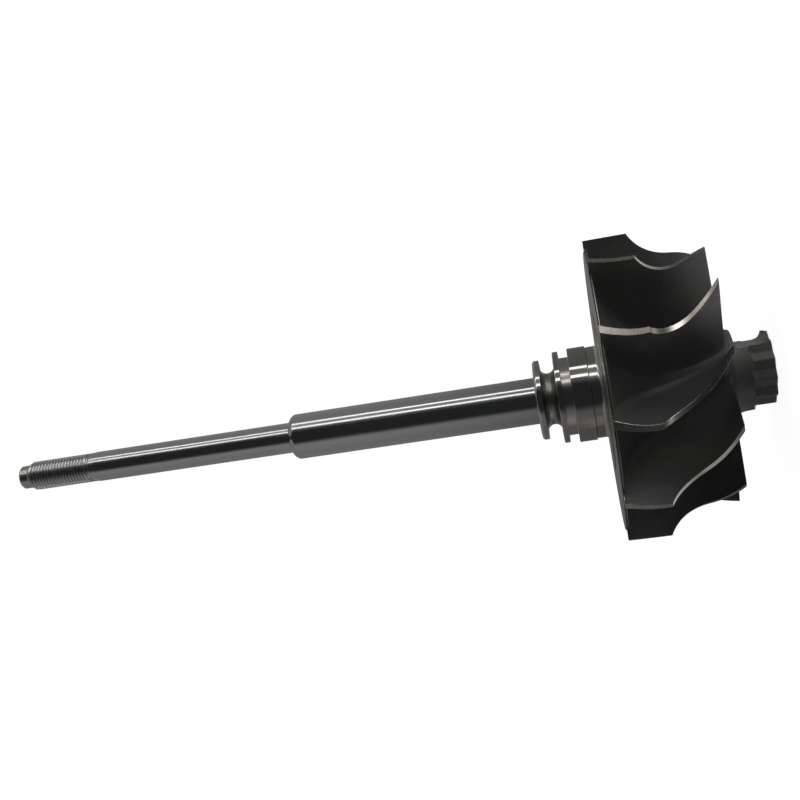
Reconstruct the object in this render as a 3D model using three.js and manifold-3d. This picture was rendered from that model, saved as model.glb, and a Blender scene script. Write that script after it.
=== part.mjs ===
// The rotor of a turbocharger's turbine end: a cast radial-inflow wheel welded to a turned shaft.
// It stands on its nose. The shaft's axis is +Z, z = 0 is the nose's end face, and the thread is at the top.
// Angles are measured about +Z from +X, where blade_01 has its back edge.
import * as THREE from 'three';
import { mergeVertices } from 'three/addons/utils/BufferGeometryUtils.js';
import Module from 'manifold-3d';

const wasm = await Module();
wasm.setup();

// Driving sizes, all in millimetres and degrees

const WHEEL_RADIUS = 46.5;
const BLADES = 11;

// Stations along the axis, from the nose up
const NOSE_END = 0;
const HEAD_TOP = 5.95;
const NECK_EDGE = 7.15;
const NECK_WAIST = 8.9;
const NECK_SWELL = 10.7;
const NECK_TOP = 12.1;
const EXIT_AT_TIP = 14.9;
const EXIT_AT_ROOT = 13.4;
const HUB_STRAIGHT_TOP = 14.9;
const SHROUD_ARC_START = 24.4;
const TIP_CORNER = 36.5;
const RIM_FRONT = 49;
const BLADE_BACK = 49.55;
const DISC_BACK = 49.8;
const PAD_TOP = 50.15;
const WELD_TOP = 53.8;
const COLLAR_TOP = 59.3;
const RING_GROOVE_TOP = 62.2;
const INNER_FLANGE_TOP = 63.9;
const OIL_GROOVE_TOP = 68.4;
const OUTER_FLANGE_TOP = 70.4;
const JOURNAL_TOP = 148.35;
const SHOULDER_EDGE = 149.38;
const SHOULDER = 150.05;
const SEAT_TOP = 217.7;
const RELIEF_TOP = 218.4;
const THREAD_START = 220.5;
const THREAD_CHAMFER = 240.3;
const THREAD_TOP = 241.9;
const PILOT_TOP = 245;

// Radii
const HEAD_RADIUS = 11.4;
const NECK_RADIUS = 12.4;
const NECK_WAIST_RADIUS = 12.5;
const NECK_SWELL_RADIUS = 12.8;
const HUB_RADIUS = 13.15;
const EXIT_RADIUS = 39;
const DISC_RADIUS = 43.2;
const PAD_RADIUS = 24.4;
const WELD_RADIUS = 14.2;
const COLLAR_RADIUS = 14.65;
const RING_GROOVE_RADIUS = 12.1;
const INNER_FLANGE_RADIUS = 14.25;
const OIL_GROOVE_RADIUS = 8;
const OUTER_FLANGE_RADIUS = 12.4;
const JOURNAL_RADIUS = 7.27;
const SHOULDER_EDGE_RADIUS = 6.62;
const SHOULDER_RADIUS = 5.7;
const SEAT_RADIUS = 4.9;
const RELIEF_RADIUS = 4.6;
const THREAD_RADIUS = 4.76;
const THREAD_ROOT_RADIUS = 4.12;
const PILOT_RADIUS = 3.8;

// Small features
const HEAD_POINTS = 12;
const HEAD_TURN = 14;
const HEAD_EDGE = 0.4;
const DISC_FILLET = 1.3;
const FLARE_SPLIT = 80;
const FLANGE_EDGE = 1.1;
const PILOT_EDGE = 0.5;
const THREAD_PITCH = 1.058;
const CENTRE_HOLE_RADIUS = 1.25;
const CENTRE_HOLE_DEPTH = 2.2;

// The balancing cut, ground across the head and neck
const CUT_TURN = -4.3;
const CUT_FLOOR = 7.92;
const CUT_WALL = 10.85;
const CUT_WALL_FILLET = 1.7;
const CUT_LIP = 1.15;
const CUT_LIP_FILLET = 2.55;

// A blade's wrap about the axis from its back edge to its exit, as four evenly spaced control angles
const WRAP = [0, -5.7, -5.9, 20.8];
const TIP_THICKNESS_BACK = 2.1;
const TIP_THICKNESS_EXIT = 1;
const ROOT_THICKENING = 1.6;
const BLADE_GAP = 0.3;

// Facets
const SHAFT_SEGMENTS = 36;
const WHEEL_SEGMENTS = 5 * BLADES;
const THREAD_SEGMENTS = 16;
const HUB_STEPS = 12;
const FILLET_STEPS = 4;
const BLADE_ROWS = 5;

const groundSteel = new THREE.MeshStandardMaterial({ color: 0x9a9a98, roughness: 0.18, metalness: 1 });
const turnedSteel = new THREE.MeshStandardMaterial({ color: 0x8f8e88, roughness: 0.3, metalness: 1 });
const castAlloy = new THREE.MeshStandardMaterial({ color: 0x3c3a36, roughness: 0.62, metalness: 0.8 });

const rotor = new THREE.Group();

const radians = THREE.MathUtils.degToRad;

// Makes a closed geometry of shared vertices with its faces pointing out
function closedGeometry(geometry) {
  const bare = geometry.index ? geometry.toNonIndexed() : geometry.clone();
  bare.deleteAttribute('normal');
  bare.deleteAttribute('uv');
  const merged = mergeVertices(bare, 1e-5);
  const position = merged.attributes.position;
  const corner = [new THREE.Vector3(), new THREE.Vector3(), new THREE.Vector3()];
  const triangles = [];
  let volume = 0;
  for (let i = 0; i < merged.index.count; i += 3) {
    const triangle = [0, 1, 2].map((n) => merged.index.getX(i + n));
    if (new Set(triangle).size < 3) continue;
    triangle.forEach((vertex, n) => corner[n].fromBufferAttribute(position, vertex));
    volume += corner[0].dot(corner[1].cross(corner[2]));
    triangles.push(triangle);
  }
  if (volume < 0) triangles.forEach((triangle) => triangle.reverse());
  merged.setIndex(triangles.flat());
  merged.computeVertexNormals();
  return merged;
}

function toManifold(geometry) {
  const closed = closedGeometry(geometry);
  const vertProperties = new Float32Array(closed.attributes.position.array);
  const triVerts = new Uint32Array(closed.index.array);
  return new wasm.Manifold(new wasm.Mesh({ numProp: 3, vertProperties, triVerts }));
}

function fromManifold(solid) {
  const mesh = solid.getMesh();
  const geometry = new THREE.BufferGeometry();
  geometry.setAttribute('position', new THREE.BufferAttribute(mesh.vertProperties, 3));
  geometry.setIndex(new THREE.BufferAttribute(mesh.triVerts, 1));
  geometry.computeVertexNormals();
  return geometry;
}

// Turns a profile of [radius, z] points, starting and ending on the axis, about +Z
function turned(profile, segments) {
  const points = profile.map(([radius, z]) => new THREE.Vector2(radius, z));
  return closedGeometry(new THREE.LatheGeometry(points, segments).rotateX(Math.PI / 2));
}

// Points of [radius, z] on a circular arc, both ends included
function arc(radius, z, size, from, to, steps = FILLET_STEPS) {
  return Array.from({ length: steps + 1 }, (_, i) => {
    const angle = radians(from + ((to - from) * i) / steps);
    return [radius + size * Math.cos(angle), z + size * Math.sin(angle)];
  });
}

function addPiece(name, geometry, material) {
  const piece = new THREE.Mesh(geometry, material);
  piece.name = name;
  rotor.add(piece);
}

// Shaft

function pilotTip() {
  const holeBottom = PILOT_TOP - CENTRE_HOLE_DEPTH;
  return turned([
    [0, THREAD_TOP],
    [PILOT_RADIUS, THREAD_TOP],
    [PILOT_RADIUS, PILOT_TOP - PILOT_EDGE],
    [PILOT_RADIUS - PILOT_EDGE, PILOT_TOP],
    [CENTRE_HOLE_RADIUS, PILOT_TOP],
    [0, holeBottom],
  ], SHAFT_SEGMENTS);
}

// A left-hand V thread as one helical band, its ends closed by fans, trimmed by a chamfered cylinder
function threadedEnd() {
  const margin = 1.5 * THREAD_PITCH;
  const low = THREAD_START - margin;
  const turns = Math.ceil((THREAD_TOP - THREAD_START + margin) / THREAD_PITCH);
  const steps = turns * THREAD_SEGMENTS;
  const vertices = [];
  for (let i = 0; i <= steps; i++) {
    const angle = (-2 * Math.PI * i) / THREAD_SEGMENTS;
    const z = low + (THREAD_PITCH * i) / THREAD_SEGMENTS;
    const [x, y] = [Math.cos(angle), Math.sin(angle)];
    vertices.push([THREAD_RADIUS * x, THREAD_RADIUS * y, z]);
    vertices.push([THREAD_ROOT_RADIUS * x, THREAD_ROOT_RADIUS * y, z + THREAD_PITCH / 2]);
  }
  const crest = (i) => 2 * i;
  const root = (i) => 2 * i + 1;
  const triangles = [];
  const quad = (a, b, c, d) => triangles.push(a, b, c, a, c, d);
  for (let i = 0; i < steps; i++) {
    quad(crest(i), root(i), root(i + 1), crest(i + 1));
  }
  for (let i = 0; i < steps - THREAD_SEGMENTS; i++) {
    const above = i + THREAD_SEGMENTS;
    quad(root(i), crest(above), crest(above + 1), root(i + 1));
  }
  const bottom = vertices.push([0, 0, low - THREAD_PITCH]) - 1;
  const top = vertices.push([0, 0, low + (turns + 1) * THREAD_PITCH]) - 1;
  const first = Array.from({ length: THREAD_SEGMENTS + 1 }, (_, i) => crest(i));
  const last = Array.from({ length: THREAD_SEGMENTS + 1 }, (_, i) => root(steps - THREAD_SEGMENTS + i));
  const fan = (centre, loop, flip) => loop.forEach((vertex, i) => {
    const next = loop[(i + 1) % loop.length];
    triangles.push(centre, flip ? next : vertex, flip ? vertex : next);
  });
  fan(bottom, [...first, root(0)], false);
  fan(top, [...last, crest(steps)], true);
  const helix = new THREE.BufferGeometry();
  helix.setAttribute('position', new THREE.Float32BufferAttribute(vertices.flat(), 3));
  helix.setIndex(triangles);
  const envelope = turned([
    [0, THREAD_START],
    [THREAD_RADIUS, THREAD_START],
    [THREAD_RADIUS, THREAD_CHAMFER],
    [PILOT_RADIUS, THREAD_TOP],
    [0, THREAD_TOP],
  ], THREAD_SEGMENTS);
  return fromManifold(toManifold(helix).intersect(toManifold(envelope)));
}

// Journal, thrust shoulder and compressor seat, turned from one bar
function shaftBody() {
  return turned([
    [0, OUTER_FLANGE_TOP],
    [JOURNAL_RADIUS, OUTER_FLANGE_TOP],
    [JOURNAL_RADIUS, JOURNAL_TOP],
    [SHOULDER_EDGE_RADIUS, SHOULDER_EDGE],
    [SHOULDER_RADIUS, SHOULDER],
    [SEAT_RADIUS, SHOULDER],
    [SEAT_RADIUS, SEAT_TOP],
    [RELIEF_RADIUS, SEAT_TOP],
    [RELIEF_RADIUS, RELIEF_TOP],
    [THREAD_RADIUS, RELIEF_TOP],
    [THREAD_RADIUS, THREAD_START],
    [0, THREAD_START],
  ], SHAFT_SEGMENTS);
}

// Collar, ring groove, inner flange, round-bottomed oil groove and outer flange
function sealHub() {
  const grooveRadius = (OIL_GROOVE_TOP - INNER_FLANGE_TOP) / 2;
  const grooveMiddle = (OIL_GROOVE_TOP + INNER_FLANGE_TOP) / 2;
  const edgeRadius = OUTER_FLANGE_RADIUS - FLANGE_EDGE;
  const edgeStart = OUTER_FLANGE_TOP - FLANGE_EDGE;
  return turned([
    [0, WELD_TOP],
    [COLLAR_RADIUS, WELD_TOP],
    [COLLAR_RADIUS, COLLAR_TOP],
    [RING_GROOVE_RADIUS, COLLAR_TOP],
    [RING_GROOVE_RADIUS, RING_GROOVE_TOP],
    [INNER_FLANGE_RADIUS, RING_GROOVE_TOP],
    [INNER_FLANGE_RADIUS, INNER_FLANGE_TOP],
    ...arc(OIL_GROOVE_RADIUS + grooveRadius, grooveMiddle, grooveRadius, 270, 90, 2 * FILLET_STEPS),
    [OUTER_FLANGE_RADIUS, OIL_GROOVE_TOP],
    ...arc(edgeRadius, edgeStart, FLANGE_EDGE, 0, 90),
    [0, OUTER_FLANGE_TOP],
  ], SHAFT_SEGMENTS);
}

// Wheel

function weldBoss() {
  return turned([
    [0, PAD_TOP],
    ...arc(WELD_RADIUS + DISC_FILLET, PAD_TOP + DISC_FILLET, DISC_FILLET, 270, 180),
    [WELD_RADIUS, WELD_TOP],
    [0, WELD_TOP],
  ], SHAFT_SEGMENTS);
}

// The hub's flare is a quarter of an ellipse, from the straight exit to the rim of the disc
const FLARE_LENGTH = RIM_FRONT - HUB_STRAIGHT_TOP;
const FLARE_DEPTH = DISC_RADIUS - HUB_RADIUS;

function flarePoint(angle, clearance = 0) {
  const [across, along] = [Math.cos(radians(angle)), Math.sin(radians(angle))];
  const [nr, nz] = [across * FLARE_LENGTH, along * FLARE_DEPTH];
  const size = clearance / Math.hypot(nr, nz);
  return [
    DISC_RADIUS - FLARE_DEPTH * across + nr * size,
    HUB_STRAIGHT_TOP + FLARE_LENGTH * along - nz * size,
  ];
}

function flare(from, to, steps) {
  return Array.from({ length: steps + 1 }, (_, i) => flarePoint(from + ((to - from) * i) / steps));
}

// The disc takes the flare's nearly flat end, so that neither piece thins to an edge. Its back has a low pad
function backDisc() {
  const front = flare(FLARE_SPLIT, 90, FILLET_STEPS);
  return turned([
    [0, front[0][1]],
    ...front,
    [DISC_RADIUS, DISC_BACK],
    [PAD_RADIUS, DISC_BACK],
    [PAD_RADIUS, PAD_TOP],
    [0, PAD_TOP],
  ], WHEEL_SEGMENTS);
}

function hubCone() {
  const side = flare(0, FLARE_SPLIT, HUB_STEPS);
  return turned([
    [0, NECK_TOP],
    [HUB_RADIUS, NECK_TOP],
    ...side,
    [0, side[HUB_STEPS][1]],
  ], WHEEL_SEGMENTS);
}

// Runs straight across the rotor: a square wall, a flat floor and a lip towards the nose, with round corners
function balanceCut() {
  const outside = 2 * NECK_RADIUS;
  const wallFoot = CUT_WALL - CUT_WALL_FILLET;
  const lipFoot = CUT_LIP + CUT_LIP_FILLET;
  const shape = new THREE.Shape();
  shape.moveTo(outside, CUT_WALL);
  shape.absarc(CUT_FLOOR + CUT_WALL_FILLET, wallFoot, CUT_WALL_FILLET, Math.PI / 2, Math.PI);
  shape.absarc(CUT_FLOOR + CUT_LIP_FILLET, lipFoot, CUT_LIP_FILLET, Math.PI, 1.5 * Math.PI);
  shape.lineTo(outside, CUT_LIP);
  const cut = new THREE.ExtrudeGeometry(shape, { depth: 2 * outside, bevelEnabled: false, curveSegments: 6 });
  cut.translate(0, 0, -outside).rotateX(Math.PI / 2).rotateZ(radians(CUT_TURN));
  return toManifold(cut);
}

function hubNeck() {
  const neck = turned([
    [0, HEAD_TOP],
    [HEAD_RADIUS, HEAD_TOP],
    [NECK_RADIUS, NECK_EDGE],
    [NECK_WAIST_RADIUS, NECK_WAIST],
    [NECK_SWELL_RADIUS, NECK_SWELL],
    [HUB_RADIUS, NECK_TOP],
    [0, NECK_TOP],
  ], SHAFT_SEGMENTS);
  return fromManifold(toManifold(neck).subtract(balanceCut()));
}

// The twelve-point head, two hexagons a twelfth of a turn apart, its end edge rounded
function noseBoss() {
  const valleyRadius = (HEAD_RADIUS * Math.cos(radians(30))) / Math.cos(radians(15));
  const outline = Array.from({ length: 2 * HEAD_POINTS }, (_, i) => {
    const radius = i % 2 ? valleyRadius : HEAD_RADIUS;
    const angle = radians(HEAD_TURN + (180 * i) / HEAD_POINTS);
    return new THREE.Vector2(radius * Math.cos(angle), radius * Math.sin(angle));
  });
  const star = new THREE.ExtrudeGeometry(new THREE.Shape(outline), { depth: HEAD_TOP, bevelEnabled: false });
  const envelope = turned([
    [0, NOSE_END],
    ...arc(HEAD_RADIUS - HEAD_EDGE, NOSE_END + HEAD_EDGE, HEAD_EDGE, 270, 360),
    [HEAD_RADIUS, HEAD_TOP],
    [0, HEAD_TOP],
  ], SHAFT_SEGMENTS);
  return fromManifold(toManifold(star).intersect(toManifold(envelope)).subtract(balanceCut()));
}

// Blades

const WRAP_LENGTH = BLADE_BACK - EXIT_AT_TIP;

// Angle of the blade's middle surface at height z, with its slope in radians a millimetre
function wrap(z) {
  const s = (BLADE_BACK - z) / WRAP_LENGTH;
  const t = 1 - s;
  const [a, b, c, d] = WRAP;
  const angle = a * t ** 3 + 3 * b * s * t ** 2 + 3 * c * s ** 2 * t + d * s ** 3;
  const slope = 3 * ((b - a) * t ** 2 + 2 * (c - b) * s * t + (d - c) * s ** 2);
  return [radians(angle), radians(slope) / WRAP_LENGTH];
}

// The edge at the housing: straight at full radius, then an arc into the exit's cylinder
function shroudRadius(z) {
  const drop = WHEEL_RADIUS - EXIT_RADIUS;
  const length = TIP_CORNER - SHROUD_ARC_START;
  const size = (length ** 2 + drop ** 2) / (2 * drop);
  const along = THREE.MathUtils.clamp(z - SHROUD_ARC_START, 0, length);
  return EXIT_RADIUS + size - Math.sqrt(size ** 2 - along ** 2);
}

// The blade's root and shroud edges, as matching lists of [radius, z] from the back edge to the exit
function bladeEdges() {
  const rimClear = DISC_RADIUS + BLADE_GAP;
  const frontClear = RIM_FRONT - BLADE_GAP;
  const root = [[rimClear, BLADE_BACK], [rimClear, frontClear]];
  const shroudStations = [BLADE_BACK, frontClear];
  for (let i = 1; i <= HUB_STEPS; i++) {
    root.push(flarePoint(84 * (1 - (i - 0.5) / HUB_STEPS) ** 1.15, BLADE_GAP));
  }
  root.push([HUB_RADIUS + BLADE_GAP, EXIT_AT_ROOT]);
  const tipSteps = 4;
  const arcSteps = 6;
  const exitSteps = HUB_STEPS + 1 - tipSteps - arcSteps;
  const spread = (from, to, steps) => {
    for (let i = 1; i <= steps; i++) shroudStations.push(from + ((to - from) * i) / steps);
  };
  spread(frontClear, TIP_CORNER, tipSteps);
  spread(TIP_CORNER, SHROUD_ARC_START, arcSteps);
  spread(SHROUD_ARC_START, EXIT_AT_TIP, exitSteps);
  return { root, shroud: shroudStations.map((z) => [shroudRadius(z), z]) };
}

// Tangential half thickness, as an angle, so that the metal is as thick as stated across the blade
function halfAngle(radius, z, up) {
  const s = (BLADE_BACK - z) / WRAP_LENGTH;
  const tip = THREE.MathUtils.lerp(TIP_THICKNESS_BACK, TIP_THICKNESS_EXIT, s);
  const thickness = tip + ROOT_THICKENING * (1 - up);
  const lean = Math.hypot(1, radius * wrap(z)[1]);
  return (thickness * lean) / (2 * radius);
}

function blade() {
  const { root, shroud } = bladeEdges();
  const columns = root.length;
  const vertices = [];
  for (const side of [-1, 1]) {
    for (let i = 0; i < columns; i++) {
      for (let j = 0; j <= BLADE_ROWS; j++) {
        const up = j / BLADE_ROWS;
        const radius = THREE.MathUtils.lerp(root[i][0], shroud[i][0], up);
        const z = THREE.MathUtils.lerp(root[i][1], shroud[i][1], up);
        const angle = wrap(z)[0] + side * halfAngle(radius, z, up);
        vertices.push(radius * Math.cos(angle), radius * Math.sin(angle), z);
      }
    }
  }
  const at = (side, i, j) => (side * columns + i) * (BLADE_ROWS + 1) + j;
  const triangles = [];
  const quad = (a, b, c, d) => triangles.push(a, b, c, a, c, d);
  for (let i = 0; i < columns - 1; i++) {
    for (let j = 0; j < BLADE_ROWS; j++) {
      quad(at(0, i, j), at(0, i, j + 1), at(0, i + 1, j + 1), at(0, i + 1, j));
      quad(at(1, i, j), at(1, i + 1, j), at(1, i + 1, j + 1), at(1, i, j + 1));
    }
    quad(at(0, i, 0), at(0, i + 1, 0), at(1, i + 1, 0), at(1, i, 0));
    quad(at(0, i, BLADE_ROWS), at(1, i, BLADE_ROWS), at(1, i + 1, BLADE_ROWS), at(0, i + 1, BLADE_ROWS));
  }
  for (let j = 0; j < BLADE_ROWS; j++) {
    const end = columns - 1;
    quad(at(0, 0, j), at(1, 0, j), at(1, 0, j + 1), at(0, 0, j + 1));
    quad(at(0, end, j), at(0, end, j + 1), at(1, end, j + 1), at(1, end, j));
  }
  const geometry = new THREE.BufferGeometry();
  geometry.setAttribute('position', new THREE.Float32BufferAttribute(vertices, 3));
  geometry.setIndex(triangles);
  return closedGeometry(geometry);
}

addPiece('pilot_tip', pilotTip(), turnedSteel);
addPiece('threaded_end', threadedEnd(), turnedSteel);
addPiece('shaft_body', shaftBody(), groundSteel);
addPiece('seal_hub', sealHub(), groundSteel);
addPiece('weld_boss', weldBoss(), turnedSteel);
addPiece('back_disc', backDisc(), castAlloy);
addPiece('hub_cone', hubCone(), castAlloy);
addPiece('hub_neck', hubNeck(), castAlloy);
addPiece('nose_boss', noseBoss(), castAlloy);

for (let k = 0; k < BLADES; k++) {
  const geometry = blade().rotateZ((-2 * Math.PI * k) / BLADES);
  addPiece(`blade_${String(k + 1).padStart(2, '0')}`, geometry, castAlloy);
}

export default rotor;
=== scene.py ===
import math

import bmesh
import bpy
import numpy as np
from mathutils import Matrix, Vector


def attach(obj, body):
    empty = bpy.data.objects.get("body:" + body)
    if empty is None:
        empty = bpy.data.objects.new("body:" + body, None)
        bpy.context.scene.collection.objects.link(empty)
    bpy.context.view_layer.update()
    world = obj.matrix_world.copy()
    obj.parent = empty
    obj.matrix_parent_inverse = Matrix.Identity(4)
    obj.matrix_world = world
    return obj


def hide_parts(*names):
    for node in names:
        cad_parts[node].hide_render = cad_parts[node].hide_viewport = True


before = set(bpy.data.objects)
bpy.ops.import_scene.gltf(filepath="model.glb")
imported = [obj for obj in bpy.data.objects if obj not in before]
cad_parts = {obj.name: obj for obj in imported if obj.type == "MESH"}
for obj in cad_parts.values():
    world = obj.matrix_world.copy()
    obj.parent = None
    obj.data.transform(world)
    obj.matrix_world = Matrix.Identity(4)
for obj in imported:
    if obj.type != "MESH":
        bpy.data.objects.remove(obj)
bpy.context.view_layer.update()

# The looks of a turbocharger's turbine rotor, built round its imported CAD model.
# Sizes are in millimetres here and become metres in MM. Heights go up the axis from the nose's end face.

MM = 0.001
scene = bpy.context.scene

# Stations along the axis
HEAD_TOP = 5.95
NECK_EDGE = 7.15
NECK_WAIST = 8.9
NECK_SWELL = 10.7
NECK_TOP = 12.1
EXIT_AT_TIP = 14.9
EXIT_AT_ROOT = 13.4
HUB_STRAIGHT_TOP = 14.9
SHROUD_ARC_START = 24.4
TIP_CORNER = 36.5
RIM_FRONT = 49
BLADE_BACK = 49.55
DISC_BACK = 49.8
PAD_TOP = 50.15
WELD_TOP = 53.8
COLLAR_TOP = 59.3
RING_GROOVE_TOP = 62.2
INNER_FLANGE_TOP = 63.9
OIL_GROOVE_TOP = 68.4
OUTER_FLANGE_TOP = 70.4
JOURNAL_TOP = 148.35
SHOULDER_EDGE = 149.38
SHOULDER = 150.05
SEAT_TOP = 217.7
RELIEF_TOP = 218.4
THREAD_START = 219.4
THREAD_CHAMFER = 240.3
THREAD_TOP = 241.9
PILOT_TOP = 245

# Radii
HEAD_RADIUS = 11.4
NECK_RADIUS = 12.4
NECK_WAIST_RADIUS = 12.5
NECK_SWELL_RADIUS = 12.8
HUB_RADIUS = 13.15
EXIT_RADIUS = 39
DISC_RADIUS = 43.2
PAD_RADIUS = 24.4
WHEEL_RADIUS = 46.498
WELD_RADIUS = 14.2
COLLAR_RADIUS = 14.65
RING_GROOVE_RADIUS = 12.1
INNER_FLANGE_RADIUS = 14.25
OIL_GROOVE_RADIUS = 8
OUTER_FLANGE_RADIUS = 12.4
JOURNAL_RADIUS = 7.27
SHOULDER_EDGE_RADIUS = 6.62
SHOULDER_RADIUS = 5.7
SEAT_RADIUS = 4.9
RELIEF_RADIUS = 4.6
THREAD_RADIUS = 4.76
THREAD_ROOT_RADIUS = 4.2
PILOT_RADIUS = 3.8
CENTRE_HOLE_RADIUS = 1.25

# Small features
BLADES = 11
DISC_FILLET = 0.9
FLARE_SPLIT, FLARE_RIM = 80, 89
LAP = 0.02
CENTRE_HOLE_DEPTH = 2.2
PILOT_CHAMFER = 0.5
FOOT_SHARE = 0.35
WELD_CHAMFER = 0.2
COLLAR_CHAMFER = 0.15

# The rounding of a corner that is given none of its own, and of the blades' edges
EDGE = 0.05

# Thread: its crest's half width and its flank are shares of a turn, its rounding a share of its depth
THREAD_PITCH = 1.058
THREAD_PHASE = 0.727
THREAD_HALF_CREST = 0.1
THREAD_FLANK = 0.34
THREAD_ROUNDING = 0.13
THREAD_FADE = 2

# Rounded edges of the turned pieces
BUTT_FILLET = 0.02
TINY_FILLET = 0.08
SMALL_FILLET = 0.12
HUB_FILLET = 0.15
PILOT_FILLET = 0.3
CENTRE_HOLE_FILLET = 0.06
JOURNAL_END_FILLET = 0.8
SHOULDER_EDGE_FILLET = 1.2
SHOULDER_FILLET = 0.5
SEAT_FILLET = 0.2
INNER_FLANGE_FILLET = 0.25
OIL_GROOVE_FILLET = 2.25
OUTER_FLANGE_FILLET = 0.85
WELD_FOOT_FILLET = 1.1
DISC_FRONT_FILLET = 0.2
DISC_BACK_FILLET = 0.15
PAD_FILLET = 0.1
FILLET_ROOM = 0.499

# Head: its points, their turn and softening in degrees, and the round ends of the flutes between them
HEAD_POINTS = 12
HEAD_TURN = 14
HEAD_EDGE = 0.4
POINT_SOFT, POINT_SOFT_ANGLE = 0.12, 2.5
HEXAGON_HALF_SIDE = math.pi / 6
FLUTE_RADIUS = 10.22
FLUTE_END_POWER, FLUTE_END_CLIMB = 1.5, 3
FLUTE_MARGIN = 0.3
NECK_SOFT = 0.45

# The balancing cut, ground across the head and neck
CUT_TURN = -4.3
CUT_FLOOR = 7.92
CUT_WALL = 10.85
CUT_WALL_FILLET = 1.7
CUT_LIP = 1.15
CUT_LIP_FILLET = 2.55
CUT_TOUCH = 0.03

# The cut's two round corners: the height of each one's middle, its radius and the side that its wall is on
CUT_CORNERS = ((CUT_WALL - CUT_WALL_FILLET, CUT_WALL_FILLET, 1),
               (CUT_LIP + CUT_LIP_FILLET, CUT_LIP_FILLET, -1))

# Blades: the wrap's control angles in degrees, from the back to the exit, then thicknesses and fillets
WRAP = (0, -5.7, -5.9, 20.8)
TIP_THICKNESS_BACK = 2.1
TIP_THICKNESS_EXIT = 1
ROOT_THICKENING = 1.6
ROOT_DEPTH = 0.3

# Columns run along a blade from the back edge past the tip's corner and the housing's arc to the exit edge
TIP_COLUMN, ARC_COLUMN, LAST_COLUMN = 4, 10, 13
COLUMN_STEPS = (22, 36, 18)
ROW_EVENNESS = 0.4
ROOT_ANGLE, ROOT_SPAN, ROOT_POWER = 84, 12, 1.15
ROOT_LAST = 0.5
FILLET_COLUMNS, FILLET_SIZES = (0, 1, 5, LAST_COLUMN), (0.5, 0.9, 2.4, 1.7)

# Facets
SHAFT_SEGMENTS = 192
WHEEL_SEGMENTS = 264
NOSE_SEGMENTS = 480
THREAD_SEGMENTS = 112
THREAD_ROWS = 14
FLARE_STEPS = 56
FLARE_RIM_STEPS = 14
FLARE_LINE_STEPS = 160
NOSE_ROWS = (8, 6, 16, 3, 10)
CUT_ARC_STEPS = 20
BLADE_ROWS = 26
CORNER_STEP = 11
SMOOTH_BELOW = 12

# Angles from which an edge between two faces is sharp, in degrees
THREAD_SHARP = 60
NOSE_SHARP = 32
BLADE_SHARP = 30


# Camera, fitted to the photo: its place in millimetres, its view and the picture's upward direction
CAMERA_PLACE = (20.73, -339.99, 57.26)
CAMERA_FORWARD = (-0.04053, 0.98583, 0.16275)
CAMERA_UP = (0.98660, 0.06569, -0.14933)
SENSOR_WIDTH = 36
LENS = 48.72
CLIP_START, CLIP_END = 0.01, 20

# The studio is built as directions: an angle about the axis in degrees from +X and a rise along it, -1 to 1.
# Walls: brightness above and below, the rise where the upper one is reached, and the shade outside the
# bright sides. Each of those is given as the angles where it starts, is full, fades and ends
GREY = 0.235
GREY_BELOW = 0.108
FULL_GREY_RISE = 0.25
WALL_SHADE = 0.15
BRIGHT_SIDES = ((-15, 60, 90, 130), (-180, -136, -100, -90))

# Dark screen: its sides with their soft edges, its brightness and tint, and the light that spills onto it
DARK_FROM, DARK_TO = -136, -44.5
DARK_SOFT_FROM, DARK_SOFT_TO = 24, 1
DARK = 0.021
DARK_TINT = (0.94, 0.99, 1.06, 1)
SPILL_FROM, SPILL_TO, SPILL = -63, -45, 0.09

# Strip lights: from, to, strength. They end far up and down, and are weak below the shaft's own rises
LOWER_STRIP = (-44.2, -37.4, 1.75)
UPPER_STRIP = (-21.2, -15.4, 2)
STRIP_SOFT = 0.6
STRIP_FADE, STRIP_END = 0.55, 0.85
STRIP_WEAK_AT, STRIP_FULL_AT, STRIP_WEAK = -0.24, -0.08, 0.1
BETWEEN_STRIPS = 0.06

# Wide glows: from, to, strength, the rise where each starts and the lower rise where it is full
FRONT_GLOW = (-43.5, 8, 0.7, -0.08, -0.26)
LOW_GLOW = (-43.5, 8, 2.05, -0.36, -0.5)
REAR_GLOW = (-180, -150, 0.5, 0.01, -0.1)
BACK_FLOOR = (45, 165, 0.5, -0.15, -0.4)
GLOW_SOFT, BACK_FLOOR_SOFT = 6, 15
GLOW_END, GLOW_FADE = -0.8, -0.7

# Lamps beside the studio's lights: name, direction about the axis, rise along it, energy
LAMPS = (("low_fill", -155, -0.3, 0.45), ("nose_fill", -12, -0.35, 0.55))
LAMP_SPREAD = 50
LAMP_TINT = (0.94, 0.98, 1)

# Floor: half its width in metres, and its look
FLOOR_REACH = 3
FLOOR_GREY = (0.85, 0.85, 0.85, 1)
FLOOR_ROUGHNESS = 0.9
FLOOR_LIGHT = 0.9

WHITE = (1, 1, 1, 1)

# The Mix node's sockets for colours
MIX_FIRST, MIX_SECOND, MIX_RESULT = 6, 7, 2


# Camera and studio

def add_object(name, data):
    thing = bpy.data.objects.new(name, data)
    scene.collection.objects.link(thing)
    return thing


def make_camera():
    forward = Vector(CAMERA_FORWARD).normalized()
    right = forward.cross(Vector(CAMERA_UP)).normalized()
    up = right.cross(forward)
    data = bpy.data.cameras.new("camera")
    data.sensor_width = SENSOR_WIDTH
    data.lens = LENS
    data.clip_start = CLIP_START
    data.clip_end = CLIP_END
    camera = add_object("camera", data)
    turn = Matrix((right, up, -forward)).transposed().to_4x4()
    camera.matrix_world = Matrix.Translation(Vector(CAMERA_PLACE) * MM) @ turn
    scene.camera = camera


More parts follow.
